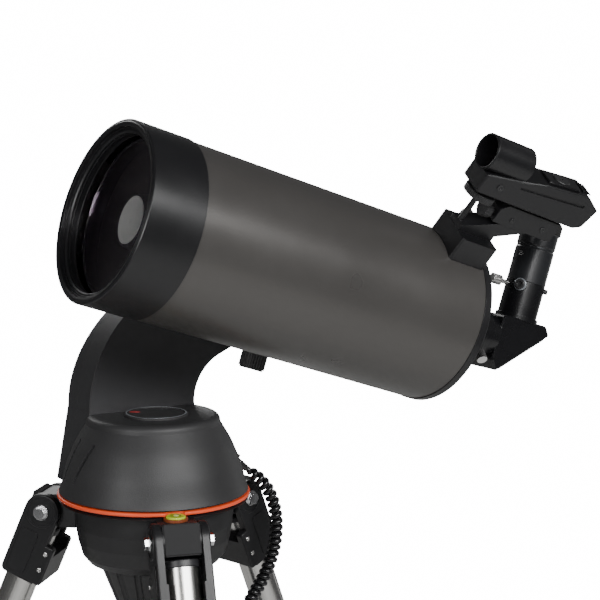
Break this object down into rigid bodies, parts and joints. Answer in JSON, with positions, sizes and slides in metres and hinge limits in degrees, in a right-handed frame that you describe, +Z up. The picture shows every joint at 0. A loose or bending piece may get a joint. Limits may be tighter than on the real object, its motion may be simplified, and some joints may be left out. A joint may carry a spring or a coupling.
{
  "type": "maksutov telescope",
  "caption": "Maksutov telescope with red-dot finder and star diagonal on a motorised single-arm mount and folding steel tripod.",
  "frame": {"origin": "on the floor under the azimuth axis, tripod open", "axes": "+Z up, the tube points to -X and 18 degrees up, the arm stands on the +Y side of the tube"},
  "size_m": [0.7312, 0.7312, 1.1027],
  "materials": {
    "base_black": "moulded black plastic, fine texture",
    "dome_black": "moulded black plastic, coarse texture",
    "arm_black": "moulded dark grey plastic, satin",
    "ring_orange": "orange plastic, satin",
    "level_green": "clear acrylic over green fluid",
    "gear_white": "natural nylon",
    "steel_chrome": "polished",
    "steel_tube": "drawn tube, bright",
    "joint_grey": "moulded grey plastic",
    "joint_black": "moulded black plastic",
    "tray_black": "moulded black plastic",
    "tube_paint": "gunmetal paint, satin",
    "cell_black": "black anodised, matte",
    "bar_black": "black anodised",
    "machine_steel": "turned",
    "lens_glass": "coated, faint purple",
    "mirror_glass": "polished",
    "knob_black": "knurled black plastic",
    "screw_chrome": "polished, knurled",
    "diagonal_black": "black, satin",
    "eyepiece_black": "black with rubber eyecup",
    "finder_black": "moulded black plastic",
    "battery": "printed cells in a holder",
    "board_green": "circuit board",
    "motor_steel": "plated",
    "switch_black": "black",
    "hand_grey": "moulded black plastic",
    "key_rubber": "grey rubber keys",
    "cord_black": "glossy black coiled cord"
  },
  "bodies": {
    "stand": {"tripod_head": "base_black", "base_ring": "ring_orange", "bubble_level": "level_green", "azimuth_gear": "gear_white", "centre_column": "base_black", "hinge_bolts": "steel_chrome", "hand_holder": "joint_black", "hand_control": "hand_grey", "curly_cord": "cord_black"},
    "mount": {"turntable": "base_black", "dome": "dome_black", "battery_pack": "battery", "control_board": "board_green", "gear_motors": "motor_steel", "fork_arm": "arm_black", "arm_cover": "arm_black", "cord_plug": "switch_black"},
    "battery_cover": {"battery_cover": "dome_black"},
    "power_switch": {"power_switch": "switch_black"},
    "altitude": {"altitude_shaft": "machine_steel", "saddle": "bar_black"},
    "saddle_knob": {"saddle_knob": "knob_black"},
    "tube": {"dovetail_bar": "bar_black", "optical_tube": "tube_paint", "front_cell": "cell_black", "corrector_lens": "lens_glass", "rear_cell": "cell_black", "visual_back": "diagonal_black", "finder_bracket": "finder_black"},
    "primary_mirror": {"primary_mirror": "mirror_glass"},
    "focus_knob": {"focus_knob": "knob_black"},
    "back_screw": {"back_screw": "screw_chrome"},
    "diagonal": {"diagonal": "diagonal_black"},
    "eyepiece_screw": {"eyepiece_screw": "screw_chrome"},
    "eyepiece": {"eyepiece": "eyepiece_black"},
    "finder_screw": {"finder_screw": "screw_chrome"},
    "finder_wheel_az": {"finder_wheel_az": "knob_black"},
    "finder_wheel_alt": {"finder_wheel_alt": "knob_black"},
    "finder": {"finder_body": "finder_black"},
    "finder_dial": {"finder_dial": "knob_black"},
    "hand_keys": {"hand_keys": "key_rubber"},
    "tray": {"accessory_tray": "tray_black"},
    "leg_1": {"leg_bracket_1": "joint_grey", "leg_tube_1": "steel_tube", "leg_collar_1": "joint_black"},
    "extension_1": {"leg_extension_1": "steel_tube"},
    "collar_knob_1": {"collar_knob_1": "knob_black"},
    "brace_1": {"brace_arm_1": "joint_black"},
    "leg_2": {"leg_bracket_2": "joint_grey", "leg_tube_2": "steel_tube", "leg_collar_2": "joint_black"},
    "extension_2": {"leg_extension_2": "steel_tube"},
    "collar_knob_2": {"collar_knob_2": "knob_black"},
    "brace_2": {"brace_arm_2": "joint_black"},
    "leg_3": {"leg_bracket_3": "joint_grey", "leg_tube_3": "steel_tube", "leg_collar_3": "joint_black"},
    "extension_3": {"leg_extension_3": "steel_tube"},
    "collar_knob_3": {"collar_knob_3": "knob_black"},
    "brace_3": {"brace_arm_3": "joint_black"}
  },
  "joints": [
    {"name": "azimuth", "type": "hinge", "parent": "stand", "child": "mount", "pos_m": [0, 0, 0.79], "axis": [0, 0, 1], "range_deg": [-120, 120], "deforming": ["curly_cord"]},
    {"name": "altitude", "type": "hinge", "parent": "mount", "child": "altitude", "pos_m": [0.12013, 0, 0.96636], "axis": [0, 1, 0], "range_deg": [-26, 52]},
    {"name": "tube_slide", "type": "slide", "parent": "altitude", "child": "tube", "axis": [0.9492, 0, -0.3147], "range_m": [-0.02, 0.02]},
    {"name": "battery_cover_lift", "type": "slide", "parent": "mount", "child": "battery_cover", "axis": [0, 0, 1], "range_m": [0, 0.04]},
    {"name": "power_rocker", "type": "hinge", "parent": "mount", "child": "power_switch", "pos_m": [0.065, 0.01146, 0.82], "axis": [-0.1736, 0.9848, 0], "range_deg": [-6, 6]},
    {"name": "saddle_clamp", "type": "hinge", "parent": "altitude", "child": "saddle_knob", "pos_m": [0.12013, -0.001, 0.96636], "axis": [-0.3147, 0, -0.9492], "range_deg": [0, 720]},
    {"name": "focus", "type": "hinge", "parent": "tube", "child": "focus_knob", "pos_m": [0.23281, -0.048, 0.90583], "axis": [0.9492, 0, -0.3147], "range_deg": [-1440, 1440]},
    {"name": "mirror_shift", "type": "slide", "parent": "tube", "child": "primary_mirror", "axis": [0.9492, 0, -0.3147], "range_m": [-0.003, 0.003]},
    {"name": "back_clamp", "type": "hinge", "parent": "tube", "child": "back_screw", "pos_m": [0.2701, -0.082, 0.91665], "axis": [-0.2225, -0.7071, -0.6712], "range_deg": [0, 720]},
    {"name": "diagonal_turn", "type": "hinge", "parent": "tube", "child": "diagonal", "pos_m": [0.26821, -0.082, 0.91728], "axis": [0.9492, 0, -0.3147], "range_deg": [-90, 90]},
    {"name": "eyepiece_clamp", "type": "hinge", "parent": "diagonal", "child": "eyepiece_screw", "pos_m": [0.32744, -0.082, 0.94979], "axis": [-0.9348, 0.1736, 0.3099], "range_deg": [0, 720]},
    {"name": "eyepiece_out", "type": "slide", "parent": "diagonal", "child": "eyepiece", "axis": [0.3147, 0, 0.9492], "range_m": [0, 0.03]},
    {"name": "finder_clamp", "type": "hinge", "parent": "tube", "child": "finder_screw", "pos_m": [0.24059, -0.12884, 1.00242], "axis": [0.1714, 0.8387, 0.517], "range_deg": [0, 720]},
    {"name": "finder_sideways", "type": "hinge", "parent": "tube", "child": "finder_wheel_az", "pos_m": [0.22135, -0.1479, 1.03972], "axis": [0.2639, -0.5446, 0.7961], "range_deg": [-360, 360]},
    {"name": "finder_tip_wheel", "type": "hinge", "parent": "tube", "child": "finder_wheel_alt", "pos_m": [0.22968, -0.14354, 1.02989], "axis": [0.9492, 0, -0.3147], "range_deg": [-720, 720]},
    {"name": "finder_tip", "type": "hinge", "parent": "tube", "child": "finder", "pos_m": [0.29236, -0.15144, 1.02192], "axis": [-0.1714, -0.8387, -0.517], "range_deg": [-1, 1]},
    {"name": "finder_brightness", "type": "hinge", "parent": "finder", "child": "finder_dial", "pos_m": [0.30597, -0.1468, 1.03755], "axis": [-0.1714, -0.8387, -0.517], "range_deg": [0, 270]},
    {"name": "key_press", "type": "slide", "parent": "stand", "child": "hand_keys", "axis": [-0.7071, 0.7071, 0], "range_m": [0, 0.0011], "stiffness_N_per_m": 350},
    {"name": "leg_fold_1", "type": "hinge", "parent": "stand", "child": "leg_1", "pos_m": [-0.02381, -0.08886, 0.771], "axis": [0.9659, -0.2588, 0], "range_deg": [0, 15]},
    {"name": "leg_extend_1", "type": "slide", "parent": "leg_1", "child": "extension_1", "axis": [-0.1011, -0.3774, -0.9205], "range_m": [0, 0.45]},
    {"name": "collar_clamp_1", "type": "hinge", "parent": "leg_1", "child": "collar_knob_1", "pos_m": [-0.09612, -0.35872, 0.11284], "axis": [-0.2382, -0.8891, 0.3907], "range_deg": [0, 720]},
    {"name": "brace_fold_1", "type": "hinge", "parent": "leg_1", "child": "brace_1", "pos_m": [-0.08234, -0.30729, 0.17172], "axis": [0.9659, -0.2588, 0], "range_deg": [0, 23.6]},
    {"name": "leg_fold_2", "type": "hinge", "parent": "stand", "child": "leg_2", "pos_m": [0.08886, 0.02381, 0.771], "axis": [-0.2588, 0.9659, 0], "range_deg": [0, 15]},
    {"name": "leg_extend_2", "type": "slide", "parent": "leg_2", "child": "extension_2", "axis": [0.3774, 0.1011, -0.9205], "range_m": [0, 0.45]},
    {"name": "collar_clamp_2", "type": "hinge", "parent": "leg_2", "child": "collar_knob_2", "pos_m": [0.35872, 0.09612, 0.11284], "axis": [0.8891, 0.2382, 0.3907], "range_deg": [0, 720]},
    {"name": "brace_fold_2", "type": "hinge", "parent": "leg_2", "child": "brace_2", "pos_m": [0.30729, 0.08234, 0.17172], "axis": [-0.2588, 0.9659, 0], "range_deg": [0, 23.6]},
    {"name": "leg_fold_3", "type": "hinge", "parent": "stand", "child": "leg_3", "pos_m": [-0.06505, 0.06505, 0.771], "axis": [-0.7071, -0.7071, 0], "range_deg": [0, 15]},
    {"name": "leg_extend_3", "type": "slide", "parent": "leg_3", "child": "extension_3", "axis": [-0.2763, 0.2763, -0.9205], "range_m": [0, 0.45]},
    {"name": "collar_clamp_3", "type": "hinge", "parent": "leg_3", "child": "collar_knob_3", "pos_m": [-0.2626, 0.2626, 0.11284], "axis": [-0.6509, 0.6509, 0.3907], "range_deg": [0, 720]},
    {"name": "brace_fold_3", "type": "hinge", "parent": "leg_3", "child": "brace_3", "pos_m": [-0.22496, 0.22496, 0.17172], "axis": [-0.7071, -0.7071, 0], "range_deg": [0, 23.6]},
    {"name": "tray_rise", "type": "slide", "parent": "stand", "child": "tray", "axis": [0, 0, 1], "range_m": [0, 0.0885]}
  ],
  "couplings": [
    {"joint": "focus", "follows": "mirror_shift", "rad_per_m": 8333.3},
    {"joint": "finder_tip_wheel", "follows": "finder_tip", "ratio": 719.4},
    {"joint": "brace_fold_1", "follows": "leg_fold_1", "ratio": 1.565},
    {"joint": "leg_fold_2", "follows": "leg_fold_1", "ratio": 1},
    {"joint": "brace_fold_2", "follows": "leg_fold_1", "ratio": 1.565},
    {"joint": "leg_fold_3", "follows": "leg_fold_1", "ratio": 1},
    {"joint": "brace_fold_3", "follows": "leg_fold_1", "ratio": 1.565},
    {"joint": "tray_rise", "follows": "leg_fold_1", "m_per_rad": 0.335}
  ]
}
